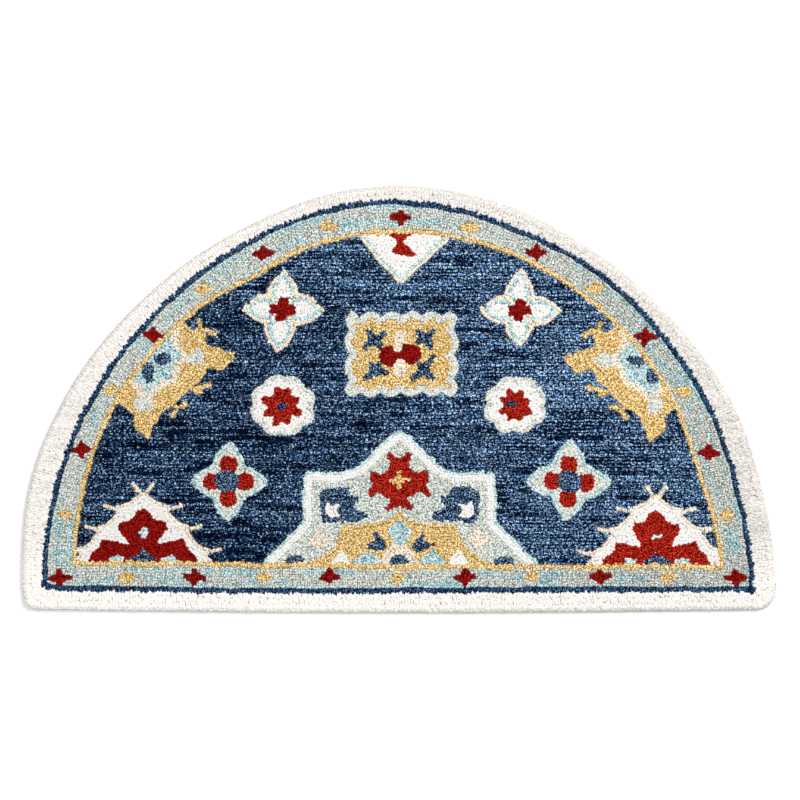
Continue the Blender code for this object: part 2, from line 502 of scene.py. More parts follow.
def chartCornerTriangle(place):
    c = cornerTriangle

    def here(outlines):
        return [placed(points, place["x"], place["y"]) for points in outlines]

    for hook in c["hooks"]:
        for points in here(bothSides(hook)):
            line(points, c["hookWidth"], "peach", c["hookPitch"])
    tent, flower, mound, eye = here([mirrored(c[key]) for key in ("tent", "flower", "mound")]
                                    + [oval(*place["eye"])])
    area(tent, (0.0, "peach"), (5.0, "white"), rows=(2.4, 7.6))
    area(flower, (0.0, place["flower"]), fine=0.9)
    area(mound, (0.0, "inkBlue"), rows=())
    plain(here(bothSides(oval(*c["shell"]))[::-1]), "mist", rows=(), fuzz=1.5)
    area(eye, (0.0, "mist"), rows=())


# The large half medallion on the straight edge. Outlines that cross its middle are
# given as their right half, and the rest stands on both sides. The cloud and the star's
# eye are crosses: place, tips, waist and how blunt.
hearth = {
    "outline": [(0, -45), (20, -62), (43, -84), (66, -107), (88, -113), (145, -112), (149, -121),
                (149, -189), (163, -205), (188, -230), (206, -246), (231, -268)],
    "cloud": (123, -217, [(20, 0), (0, 18), (-20, 0), (0, -21)], 10.0, 8.0),
    "star": [(0, -92), (8, -88), (14, -80), (19, -89), (13, -98), (17, -109), (29, -116), (36, -111),
             (44, -113), (46, -123), (41, -134), (50, -147), (42, -153), (34, -142), (23, -149), (11, -155),
             (22, -168), (17, -175), (7, -168), (0, -167)],
    "starEye": (0, -124, [(17, 1), (-2, 14), (-16, -4), (0, -14)], 5.5, 6.0),
    "hand": [(80, -137), (98, -134), (116, -139), (123, -148), (122, -172), (119, -190), (98, -190),
             (66, -189), (48, -183), (56, -173), (72, -167), (64, -160), (64, -151), (78, -148)],
    "palm": [(111, -158), (115, -168), (114, -177), (107, -182), (88, -182), (99, -172), (90, -163),
             (96, -162), (104, -166)],
    "foot": [(0, -171), (8, -181), (19, -188), (53, -193), (88, -196), (93, -213), (101, -228), (118, -242),
             (140, -253), (157, -268)],
    "tent": [(90, -232), (113, -263), (70, -263)],
    "mound": [(9, -220), (15, -229), (25, -240), (32, -265)],
    "middleDrop": [(0, -186), (11, -194), (21, -204), (13, -213), (10, -224)],
    "sideDrop": [(30, -251), (36, -243), (46, -236), (52, -232), (59, -240), (67, -245), (73, -251),
                 (66, -263), (33, -263)],
    "bird": [(34, -205), (39, -210), (37, -220), (54, -225), (44, -231), (29, -236), (20, -230), (23, -219),
             (31, -211)],
    "boats": [(0, -251, 15, 10), (162, -251, 17, 8.5)],
}


def chartHearth(h):
    outline = mirrored(h["outline"])
    area(outline, (0.0, "mist"), rows=(2.2,), fuzz=3.0)
    area(outline, (4.4, "white"), (13.6, "stone"), rows=(6.6, 11.2, 15.6, 19.6, 23.6, 27.6))
    plain(bothSides(crossed(*h["cloud"])), "peach", rows=(), fuzz=4.0)
    plain([mirrored(h["star"])], "brick", rows=(2.4,), fine=0.85)
    plain([crossed(*h["starEye"])], "gold", rows=(), fine=0.8)
    plain(bothSides(h["hand"]), "inkBlue")
    plain(bothSides(h["palm"]), "white", fine=0.8)
    plain([mirrored(h["foot"])], "gold")
    plain(bothSides(h["tent"]), "white")
    plain([mirrored(h["mound"])], "peach")
    plain([mirrored(h["middleDrop"]), *bothSides(h["sideDrop"])], "aqua")
    plain(bothSides(h["bird"]), "inkBlue", fine=0.8)
    plain([oval(*h["boats"][0]), *bothSides(oval(*h["boats"][1]))], "inkBlue", rows=())


# the pattern: the border and its lines

borderMotifs = {
    "bowStep": 11.15, "bowCount": 15,       # degrees between those on the bow
    "straightStep": 104.4, "straightCount": 11, "straightMiddle": (-3.5, -275.5),
    "starArm": 16.0, "starWaist": 8.0, "straightArm": 17.5,
    "diamondArm": 16.5, "sideArm": 11.0, "diamondWaist": 9.0, "tallest": 10.5,
    "blunt": 5.0, "flatten": 0.80, "stray": 2.0,
}


# red stars and gold diamonds, taking turns round the border
def chartBorderMotifs(b):
    places = []
    for step in range(b["bowCount"]):
        number = step - b["bowCount"] // 2
        angle = math.radians(90.0 + number * b["bowStep"])
        middle = 0.5 * (bowRadius(goldBow, angle) + bowRadius(navyBow, angle)) - 1.0
        places.append((middle * math.cos(angle), footLine + middle * math.sin(angle), number % 2 == 0))
    for step in range(b["straightCount"]):
        number = step - b["straightCount"] // 2
        middleX, level = b["straightMiddle"]
        places.append((middleX + number * b["straightStep"], level, number % 2 != 0))
    rng = np.random.default_rng(3)
    for x, y, isStar in places:
        onStraight = y < straightBelow
        if isStar:
            high = b["starArm"] * b["flatten"]
            arm, waist = b["straightArm" if onStraight else "starArm"], b["starWaist"]
        else:       # the diamonds are narrower down the sides of the bow
            level = 0.5 if onStraight else (y - footLine) / math.hypot(x, y - footLine)
            arm, waist = b["sideArm"] + (b["diamondArm"] - b["sideArm"]) * level, b["diamondWaist"]
            high = min(b["tallest"], arm * b["flatten"])
        arms = np.array([(arm, 0.0), (0.0, high), (-arm, 0.0), (0.0, -high)])
        tips = (arms + rng.uniform(-1, 1, (4, 2)) * b["stray"]).tolist()
        motif = crossed(x, y, tips, waist, b["blunt"])
        if isStar:
            area(motif, (0.0, "red"), rows=(2.4,), fine=0.72)
        else:
            area(motif, (0.0, "gold"), rows=(), fuzz=1.2)


# The ivory edge, the field and what stands in it, the border and its lines. The
# number of the border's ground is handed back.
def chartPattern():
    navy, gold = bowLine(navyBow), bowLine(goldBow)
    navyRegion, goldRegion = np.vstack([navy, navyStraight]), np.vstack([gold, goldStraight])
    into("edgePile", area, rugRim, (0.0, "ivory"), rows=(), step=6.0)
    into("fieldPile", area, navyRegion, (0.0, "navy"), rows=(), step=6.0)
    for pile, draw, motifs in (
            ("medallionPile", chartPendant, [pendant]), ("medallionPile", chartPanel, [panel]),
            ("flowerPile", chartWhiteFlower, whiteFlowers), ("flowerPile", chartRosette, rosettes),
            ("flowerPile", chartRedFlower, redFlowers),
            ("medallionPile", chartSideMedallion, sideMedallion["places"]),
            ("cornerPile", chartCornerTriangle, cornerTriangle["places"]),
            ("hearthPile", chartHearth, [hearth])):
        for motif in motifs:
            into(pile, draw, motif)
    band = len(chart)
    into("borderPile", area, navyRegion, (0.0, "stone"), rows=(), step=6.0, hole=walked(goldRegion, 6.0))
    for path, width, yarn, pitch in ((goldStraight, 8.0, "gold", 4.2), (gold, 7.4, "gold", 4.2),
                                     (navyStraight, 9.4, "lineBlue", 3.0), (navy, 8.8, "lineBlue", 3.0)):
        into("linePile", line, path, width, yarn, pitch)
    into("borderPile", chartBorderMotifs, borderMotifs)
    return band


fieldShape = 1      # the field's number in the chart
bandShape = chartPattern()
print("pattern charted:", len(chart), "shapes")


# where the loops go

tufting = {
    "rowPitch": 5.4,        # between the rows of the field
    "loopPitch": 3.45,      # along a row
    "edgePitch": 4.3,       # between the ridges of the ivory edge
    "outlinePitch": 3.3,    # along the outlines of the motifs
    "closest": 3.5,         # two loops of different rows are no nearer than this
    "pileFoot": 6.2,        # height at which a loop leaves the backing
    "pileHeight": 6.0,
    "loopWidth": 5.8,       # along a row, wider than the pitch so that loops crowd
    "loopLength": 7.8,      # across it
}

loopColumns = ("x", "y", "lift", "turn", "lean", "width", "length", "height")
loopRows = []
taken = {}      # the loops that stand in each cell of a grid
cellSize = 4.0


def isFree(x, y, closest):
    i, j = int(x // cellSize), int(y // cellSize)
    for cell in [(i + a, j + b) for a in (-1, 0, 1) for b in (-1, 0, 1)]:
        for ox, oy in taken.get(cell, ()):
            if (ox - x) ** 2 + (oy - y) ** 2 < closest * closest:
                return False
    return True


# Sets loops one by one where there is room beside the rows set before. A candidate
# is its row's number, how far apart it stands and the columns of loopColumns.
def setLoops(candidates):
    waiting, waitingRow = [], None
    for entry in candidates.tolist() + [[None]]:
        if entry[0] != waitingRow:
            for x, y in waiting:
                taken.setdefault((int(x // cellSize), int(y // cellSize)), []).append((x, y))
            waiting, waitingRow = [], entry[0]
        if len(entry) > 1 and (entry[1] <= 0.0 or isFree(entry[2], entry[3], entry[1])):
            waiting.append((entry[2], entry[3]))
            loopRows.append(entry[2:])


# the candidates of one row, with the same size all along it
def rowOf(number, points, turns, apart=3.0, lift=0.0, lean=0.0, width=1.0, length=1.0, height=1.0):
    columns = (number, apart, *points.T, lift, turns, lean, width, length, height)
    return np.stack(np.broadcast_arrays(*columns), 1).astype(float)


# the direction of a line of points at each of them
def headings(points, closed):
    step = np.roll(points, -1, 0) - np.roll(points, 1, 0) if closed else np.gradient(points, axis=0)
    return np.arctan2(step[:, 1], step[:, 0])


def polygonArea(points):
    x, y = points.T
    return 0.5 * float((x * np.roll(y, -1) - y * np.roll(x, -1)).sum())


# for a closed outline: its heading at each point, the side it turns to, and the way in
def inwardsOf(points):
    heading = headings(points, True)
    side = 1.0 if polygonArea(points) > 0 else -1.0
    return heading, side, side * np.stack([-np.sin(heading), np.cos(heading)], 1)


# points every pitch along a line that runs depth inside a closed outline
def inset(outline, depth, pitch):
    dense = walked(outline, 1.0)
    heading, _, inwards = inwardsOf(dense)
    moved = dense + depth * inwards
    kept = np.abs(depthInside(outline, moved) - depth) < 0.6
    points, turns = [], []
    for point, turn, fits in zip(moved, heading, kept):
        if fits and (not points or math.dist(point, points[-1]) >= pitch):
            points.append(point)
            turns.append(turn)
    if len(points) > 2 and math.dist(points[0], points[-1]) < 0.6 * pitch:
        points.pop()
        turns.pop()
    return np.array(points).reshape(-1, 2), np.array(turns)


# sets those loops that lie in the shape whose number starts their row's number
def setOwnRows(rows):
    candidates = np.vstack(list(rows))
    _, owner = yarnAt(candidates[:, 2:4])
    setLoops(candidates[owner == np.floor(candidates[:, 0])])


# Single rows of long loops: the navy and gold lines, and the medallions' twigs. A loop's
# width is a share of its pitch, and its length a share of the line's width.
lineTufts = {"width": 1.35, "length": 1.2, "height": 1.04}


def lineRows():
    for number, shape in reversed(list(enumerate(chart))):
        if "path" in shape:
            points = walked(shape["path"], shape["pitch"], closed=False)
            yield rowOf(number, points, headings(points, False),
                        width=lineTufts["width"] * shape["pitch"] / tufting["loopWidth"],
                        length=lineTufts["length"] * shape["width"] / tufting["loopLength"],
                        height=lineTufts["height"])


# The ivory edge: rows that lean out over the rim, given as (depth, lean, lift, length,
# height), and behind them long loops in ridges that run inwards from it.
edgeTufts = {
    "rim": [(3.6, 78.0, -4.0, 0.55, 0.62), (4.2, 55.0, -2.2, 0.70, 0.78), (5.6, 34.0, -0.6, 0.85, 0.92),
            (7.6, 14.0, -0.3, 1.1, 0.97)],
    "rimPitch": 3.9, "rimWidth": 1.15,
    "ridges": 4, "firstRidge": 9.0, "ridgeStep": 8.4, "ridgeStray": 3.0, "firstStray": 0.4,
    "loopStray": 0.5, "turnStray": 0.07, "ridgeLength": 1.95, "ridgeWidth": 1.16, "bend": 0.10,
    "bendSize": 45.0,
}


def rimRows():
    e = edgeTufts
    for index, (depth, lean, lift, length, height) in enumerate(e["rim"]):
        points, turns = inset(rugRim, depth, e["rimPitch"])
        yield rowOf(0.1 * (index + 1), points, turns, apart=0.0, lift=lift, lean=math.radians(lean),
                    width=e["rimWidth"], length=length, height=height)


def ridgeRows():
    e = edgeTufts
    rng = np.random.default_rng(5)
    rim = walked(rugRim, tufting["edgePitch"])
    heading, side, inwards = inwardsOf(rim)
    onwards = np.stack([np.cos(heading), np.sin(heading)], 1)
    slope = e["bend"] * softNoise(*rim.T, e["bendSize"], 71)
    for ridge in range(e["ridges"]):
        stray = e["ridgeStray"] * (1.0 if ridge else e["firstStray"])
        depth = e["firstRidge"] + e["ridgeStep"] * ridge + rng.uniform(-1, 1, len(rim)) * stray
        points = rim + inwards * depth[:, None] + onwards * (slope * depth)[:, None]
        points = points + rng.uniform(-e["loopStray"], e["loopStray"], (len(rim), 2))
        turns = heading - side * slope + rng.normal(0.0, e["turnStray"], len(rim))
        yield rowOf(0.5 + 0.01 * ridge, points, turns, apart=3.0 if ridge else 0.0, width=e["ridgeWidth"],
                    length=e["ridgeLength"])


# rows that follow the edge of each motif, as a maker draws it before filling it
def outlineRows():
    for number, shape in reversed(list(enumerate(chart))):
        for order, depth in enumerate(shape.get("rows", ())):
            fine = shape["fine"]
            points, turns = inset(shape["outline"], depth * fine, tufting["outlinePitch"] * fine)
            if len(points):
                yield rowOf(number + 0.1 * order, points, turns, apart=tufting["closest"] * fine, width=fine,
                            length=fine)


# the border is filled with rows that follow its lines, but curl a little
borderTufts = {"rows": 11, "first": 6.4, "step": 4.2, "pitch": 3.0, "stray": 0.6, "curl": 0.8,
               "width": 0.88, "length": 0.84}


def borderRows():
    b = borderTufts
    for order in range(b["rows"]):
        points, turns = inset(chart[bandShape]["outline"], b["first"] + b["step"] * order, b["pitch"])
        x, y = points.T
        stray = b["stray"] * np.stack([softNoise(x, y, 3.0, seed) for seed in (31, 32)], 1)
        turns = turns + b["curl"] * softNoise(x, y, 5.0, 33)
        yield rowOf(bandShape + 0.01 * order, points + stray, turns, width=b["width"], length=b["length"])


# Level rows of the field, set in two turns half a row apart. Their loops stray a
# little, and shorter ones part the rows here and there. brick is how far each row is
# moved along from the one below, as a share of the loops' pitch.
fieldRows = {"stray": 1.0, "turn": 0.28, "width": 0.86, "length": 0.98, "parting": 0.46, "partLength": 34.0,
             "partFrom": 0.15, "wave": 0.9, "waveLength": 60.0, "fromRim": 6.0, "brick": 0.618,
             "turns": [(0.0, 3.5), (0.5, 3.35)]}    # share of a row further up, and how far apart


# how far a level row wanders up and down
def rowWave(x, y):
    return fieldRows["wave"] * softNoise(x, y, fieldRows["waveLength"], 41)


def levelRows(shift, apart):
    f, pitch = fieldRows, tufting["rowPitch"]
    for number in range(int((highest - lowest) / pitch)):
        x = np.arange(left + f["fromRim"], right - f["fromRim"], tufting["loopPitch"])
        x = x + tufting["loopPitch"] * ((f["brick"] * number + shift) % 1.0)
        level = lowest + (number + shift) * pitch
        y = level + rowWave(x, np.full_like(x, level))
        stray = f["stray"] * np.stack([softNoise(x, y, 4.0, 42), 0.7 * softNoise(x, y, 3.0, 43)], 1)
        parting = rowNoise(x, np.full_like(x, number), f["partLength"], 45) + 0.6 * softNoise(x, y, 50.0, 46)
        length = f["length"] - f["parting"] * np.clip(1.5 * (parting - f["partFrom"]), 0.0, 1.0)
        yield rowOf(fieldShape + 0.001 * number, np.stack([x, y], 1) + stray,
                    f["turn"] * softNoise(x, y, 3.0, 44), apart=apart, width=f["width"], length=length)


# loops that lie every way, in all that is left inside the motifs
fillTufts = {"rowPitch": 2.3, "loopPitch": 3.2, "apart": 2.95, "stray": 0.9, "length": 0.82, "fromRim": 6.0}


def fillRows():
    f = fillTufts
    rng = np.random.default_rng(9)
    for number in range(int((highest - lowest) / f["rowPitch"])):
        x = np.arange(left, right, f["loopPitch"]) + f["loopPitch"] * rng.random()
        points = np.stack([x, np.full_like(x, lowest + number * f["rowPitch"])], 1)
        points = points + f["stray"] * rng.uniform(-1, 1, points.shape)
        turns = rng.uniform(0.0, math.pi, len(x))
        yield rowOf(number, points, turns, apart=f["apart"], length=f["length"])


setOwnRows(lineRows())
setLoops(np.vstack(list(rimRows())))
for rows in (ridgeRows(), outlineRows(), borderRows(), *[levelRows(*turn) for turn in fieldRows["turns"]]):
    setOwnRows(rows)
filling = np.vstack(list(fillRows()))
setLoops(filling[depthInside(rugRim, filling[:, 2:4]) > fillTufts["fromRim"]])
loops = dict(zip(loopColumns, np.array(loopRows).T))
spots = np.stack([loops["x"], loops["y"]], 1)
loopYarn, loopOwner = yarnAt(spots)
for column in ("width", "length"):
    loops[column] = loops[column] * yarnValues(loopYarn, "plump")
print("loops set:", len(spots))


# the colour of each loop

# The tones are natural logarithms: 0.1 is about a tenth darker or paler. A pair is the
# place where a tone starts to change and how far that takes, in millimetres.
shading = {
    # the field: soft streaks and thin dark lines along its rows, broad bands, a darker
    # left side and foot, a few pale spots, and how its flecks are drawn out
    "streakLength": 60.0, "shortStreak": 17.0, "streakShare": 0.30, "bandHeight": 46.0, "bandShare": 0.12,
    "leftToRight": (-60.0, 230.0), "sideShare": 0.25, "footToTop": (-20.0, 130.0), "heightShare": 0.14,
    "lineLength": 50.0, "lineFrom": 0.30, "lineShare": 0.60,
    "paleSpots": [(-466, -168, 19, 13), (-318, 113, 11, 9), (-324, 2, 13, 11), (-352, -22, 9, 9)],
    "paleShare": 0.42, "fieldRun": (0.56, 1.34, 1.0),
    # the border: patches of aqua and white along it, and a darker right side
    "patchLength": 46.0, "patchWidth": 7.5, "aquaAbove": 0.41, "aquaCore": 0.22, "whiteBelow": -0.46,
    "paleAqua": 0.35, "bandShade": 0.05, "bandToRight": (50.0, 300.0), "bandRight": 0.14,
    # the ivory edge: darker round the bow, on the right and in ridges, and painted shade on the loops that
    # lean over the rim, at the lower rim and fainter on the left half, the sides away from the key lamp
    "ontoBow": (-270.0, 60.0), "bowShade": 0.175, "edgeToRight": (0.0, 300.0), "rightShade": 0.12,
    "lowerRim": -285.0, "rimShade": 0.55, "leftRimShade": 0.35, "ridgeShade": 0.10, "ridgePitch": 2.9,
    "ridgeLength": 60.0, "smoothTop": (110.0, -120.0),
    # how far a loop's tone carries into its pale wool, and moves its pale and dark flecks
    "paleGain": 0.4, "paleMove": 0.30, "darkMove": 0.45, "strayMove": 0.10,
}


# How far along the border each point lies, and how far across it. The bow is counted on
# from far off, so that its noise isn't the straight side's.
def alongBorder(points, reach=550.0, farOff=2000.0):
    x, y = points.T
    onStraight = y < straightBelow
    along = np.where(onStraight, x, reach * np.arctan2(y - footLine, x) + farOff)
    return along, np.where(onStraight, y, np.hypot(x, y - footLine))


# each loop's yarn, once the border is mottled
def mottled(kind, rng):
    s = shading
    kind = kind.copy()
    along, across = alongBorder(spots)
    patch = softNoise(along, across * s["patchLength"] / s["patchWidth"], s["patchLength"], 51)
    patch = patch + 0.30 * softNoise(along, across, 8.0, 52) + 0.20 * rng.uniform(-1, 1, len(kind))
    kind[(kind == yarnNumber["aqua"]) & (rng.random(len(kind)) < s["paleAqua"])] = yarnNumber["mist"]
    inBorder = (loopOwner == bandShape) & (kind == yarnNumber["stone"])
    kind[inBorder & (patch > s["aquaAbove"])] = yarnNumber["mist"]
    kind[inBorder & (patch > s["aquaAbove"] + s["aquaCore"])] = yarnNumber["aqua"]
    kind[inBorder & (patch < s["whiteBelow"])] = yarnNumber["pearl"]
    return kind


# how far places are past a start, as a share of the way that a change takes
def past(places, start, way):
    return (places - start) / way


def fieldTone(x, y):
    s, pitch = shading, tufting["rowPitch"]
    row = np.round(y / pitch)
    streak = rowNoise(x, row, s["streakLength"], 61)
    streak = streak + 0.5 * rowNoise(x, row, s["shortStreak"], 63, apart=61.0)
    band = softNoise(x * 0.25, y, s["bandHeight"], 62)
    tone = s["streakShare"] * streak + s["bandShare"] * band
    tone = tone + s["sideShare"] * np.tanh(past(x, *s["leftToRight"]))
    tone = tone + s["heightShare"] * np.clip(past(y, *s["footToTop"]), -0.3, 0.6)
    halfRow = np.round((y - rowWave(x, y) - lowest) / (0.5 * pitch))
    dark = rowNoise(x, halfRow, s["lineLength"], 64) + 0.18 * softNoise(x, y, 55.0, 65)
    tone = tone - s["lineShare"] * np.clip(3.0 * (dark - s["lineFrom"]), 0.0, 1.0) * (halfRow % 2 == 0)
    for spotX, spotY, reachX, reachY in s["paleSpots"]:
        away = np.hypot((x - spotX) / reachX, (y - spotY) / reachY)
        tone = tone + s["paleShare"] * np.clip(1.6 - away, 0.0, 1.0)
    return tone


def edgeTone(x, y):
    s = shading
    onBow = np.clip(past(y, *s["ontoBow"]), 0.0, 1.0)
    toRight = (0.6 + 0.4 * onBow) * np.tanh(past(x, *s["edgeToRight"]))
    tone = s["bowShade"] * onBow + s["rightShade"] * toRight
    ridge = np.clip(1.6 * rowNoise(x, np.round(y / s["ridgePitch"]), s["ridgeLength"], 66), -1.0, 1.0)
    tone = tone + s["ridgeShade"] * ridge * onBow * np.clip(past(y, *s["smoothTop"]), 0.25, 1.0)
    # painted shade: the loops that lean out over the rim are darker along the lower rim and less so on the
    # left half, the sides away from the key lamp
    shadedRim = (loops["lean"] > 0.9) * np.where(y < s["lowerRim"], 1.0, s["leftRimShade"] * (x < 0.0))
    return -tone - s["rimShade"] * shadedRim


# what the wool reads from each loop
def loopShades():
    s = shading
    rng = np.random.default_rng(7)
    kind = mottled(loopYarn, rng)
    x, y = spots.T
    isNavy = kind == yarnNumber["navy"]
    tone = np.where(isNavy, fieldTone(x, y), 0.0)
    tone = np.where(kind == yarnNumber["ivory"], edgeTone(x, y), tone)
    bandTone = s["bandShade"] + s["bandRight"] * np.clip(past(x, *s["bandToRight"]), 0.0, 1.0)
    tone = np.where(loopOwner == bandShape, -bandTone, tone)
    own = rng.normal(0.0, 1.0, len(x)) * yarnValues(kind, "drift")
    gain = np.exp(tone + own)[:, None]
    paler = s["paleMove"] * tone + s["strayMove"] * own
    darker = s["darkMove"] * tone + s["strayMove"] * own
    return {
        "yarnBody": np.clip(yarnValues(kind, "body") * gain, 0.0, 0.98),
        "yarnLight": np.clip(yarnValues(kind, "light") * gain ** s["paleGain"], 0.0, 0.99),
        "yarnDeep": np.clip(yarnValues(kind, "deep") * gain, 0.0, 0.98),
        "lightFrom": noiseCut(1.0 - yarnValues(kind, "lightShare") - paler),
        "deepBelow": noiseCut(yarnValues(kind, "deepShare") - darker),
        # painted shade: how far up a loop's side the darkened deep colour reaches, standing for the shade
        # between crowded loops
        "creaseShadeTop": yarnValues(kind, "creaseShade"),
        "fleckRun": np.where(isNavy[:, None], s["fieldRun"], (1.0, 1.0, 1.0)),
    }


# the noise value below which a share of the fleck noise lies
def noiseCut(share, middle=0.5, spread=0.053):
    share = np.clip(share, 0.03, 0.97)
    return middle + spread * np.log(share / (1.0 - share))


loopShade = loopShades()


# materials

# gives a node's sockets their values, or links them to what other nodes put out
def feed(tree, node, inputs):
    for socket, value in inputs.items() if isinstance(inputs, dict) else enumerate(inputs):
        if isinstance(value, bpy.types.NodeSocket):
            tree.links.new(value, node.inputs[socket])
        else:
            node.inputs[socket].default_value = value


# what a new node puts out, made from its own settings and its inputs
def added(tree, kind, output, inputs=(), **settings):
    node = tree.nodes.new(kind)
    for setting, value in settings.items():
        setattr(node, setting, value)
    feed(tree, node, inputs)
    return node.outputs[output]


# a material, its tree and its shader, which has these values
def newMaterial(name, **values):
    material = bpy.data.materials.new(name)
    material.use_nodes = True
    shader = material.node_tree.nodes["Principled BSDF"]
    feed(material.node_tree, shader, {socket.replace("_", " "): value for socket, value in values.items()})
    return material, material.node_tree, shader


# Wool that reads its dyes from the loops: pale and dark fibres mixed into the body
# colour, painted shade low on each loop's side (a darker root) and a soft nap.
def woolMaterial(name):
    wool = {"fleckScale": 440.0, "fleckEdge": 0.035, "fibreScale": 1500.0, "fibreNoise": (0.3, 0.7),
            "fibreTones": (0.78, 1.16), "rootShadeTones": (0.62, 0.92), "rootShadeEdge": 0.32, "bump": 0.5,
            "napDepth": 0.0005, "roughness": 0.92, "sheen": 0.05}
    material, tree, shader = newMaterial(name, Roughness=wool["roughness"], Sheen_Weight=wool["sheen"],
                                         Sheen_Roughness=0.5, Specular_IOR_Level=0.03)
    add = partial(added, tree)
    place = add("ShaderNodeTexCoord", "Object")

    def attribute(label, output="Color"):
        return add("ShaderNodeAttribute", output, attribute_name=label)

    def noise(scale, detail, where):
        return add("ShaderNodeTexNoise", "Fac",
                   {"Scale": scale, "Detail": detail, "Roughness": 0.6, "Vector": where})

    def ranged(value, low, high, least=0.0, most=1.0):
        return add("ShaderNodeMapRange", "Result", {"Value": value, "From Min": low, "From Max": high,
                   "To Min": least, "To Max": most}, interpolation_type="SMOOTHSTEP")

    def less(first, second):
        return add("ShaderNodeMath", "Value", [first, second], operation="SUBTRACT")

    def mixed(factor, first, second):
        return add("ShaderNodeMix", "Result", {"Factor": factor, "A": first, "B": second}, data_type="RGBA")

    def scaled(colour, factor):
        return add("ShaderNodeVectorMath", "Vector", {0: colour, "Scale": factor}, operation="SCALE")

    # the flecks are drawn out along the rows of the field
    drawn = add("ShaderNodeVectorMath", "Vector", [place, attribute("fleckRun", "Vector")],
                operation="MULTIPLY")
    fleck = noise(wool["fleckScale"], 1.5, drawn)
    fibre = noise(wool["fibreScale"], 2.0, place)
    deep = attribute("yarnDeep")
    paleMask = ranged(less(fleck, attribute("lightFrom", "Fac")), 0.0, wool["fleckEdge"])
    darkMask = ranged(less(attribute("deepBelow", "Fac"), fleck), 0.0, wool["fleckEdge"])
    heather = mixed(darkMask, mixed(paleMask, attribute("yarnBody"), attribute("yarnLight")), deep)
    # painted shade: the deep colour, darkened further by the root tones, stands for the shade low between
    # crowded loops. A loop's side turns to it below the top that its yarn's crease shade sets, and the
    # ground, which has no loop height, is all of it.
    toned, root = [scaled(colour, ranged(fibre, *wool["fibreNoise"], *wool[tones]))
                   for colour, tones in ((heather, "fibreTones"), (deep, "rootShadeTones"))]
    tip = ranged(less(attribute("loopHeight", "Fac"), attribute("creaseShadeTop", "Fac")), -wool["rootShadeEdge"], 0.0)
    withRootShade = mixed(tip, root, toned)
    nap = add("ShaderNodeBump", "Normal",
              {"Strength": wool["bump"], "Distance": wool["napDepth"], "Height": fibre})
    feed(tree, shader, {"Base Color": withRootShade, "Sheen Tint": attribute("yarnBody"), "Normal": nap})
    return material


# plain cotton canvas, as the underside of a tufted rug shows
def canvasMaterial():
    canvas = {"threads": 210.0, "colour": (214, 203, 180), "gap": (160, 146, 122), "bump": 0.4,
              "depth": 0.0005}
    material, tree, shader = newMaterial("backingCanvas", Roughness=0.9)
    add = partial(added, tree)
    place = add("ShaderNodeTexCoord", "Object")
    waves = [add("ShaderNodeTexWave", "Fac", {"Scale": canvas["threads"], "Distortion": 0.8, "Vector": place},
                 bands_direction=axis) for axis in "XY"]
    weave = add("ShaderNodeMath", "Value", waves, operation="MULTIPLY")
    colour = add("ShaderNodeValToRGB", "Color", {"Fac": weave})
    gap, thread = colour.node.color_ramp.elements
    gap.color = (*linear(canvas["gap"]), 1.0)
    thread.color = (*linear(canvas["colour"]), 1.0)
    thread.position = 0.5
    raised = add("ShaderNodeBump", "Normal",
                 {"Strength": canvas["bump"], "Distance": canvas["depth"], "Height": weave})
    feed(tree, shader, {"Base Color": colour, "Normal": raised})
    return material


tuftedWool = woolMaterial("tuftedWool")
backingCanvas = canvasMaterial()
print("materials made")


# the pile

# The ball that a loop is made from, and the share of the loop's height at its rings.
loopForm = {"sides": 5, "rings": 3, "lowRing": 0.0, "highRing": 0.80}


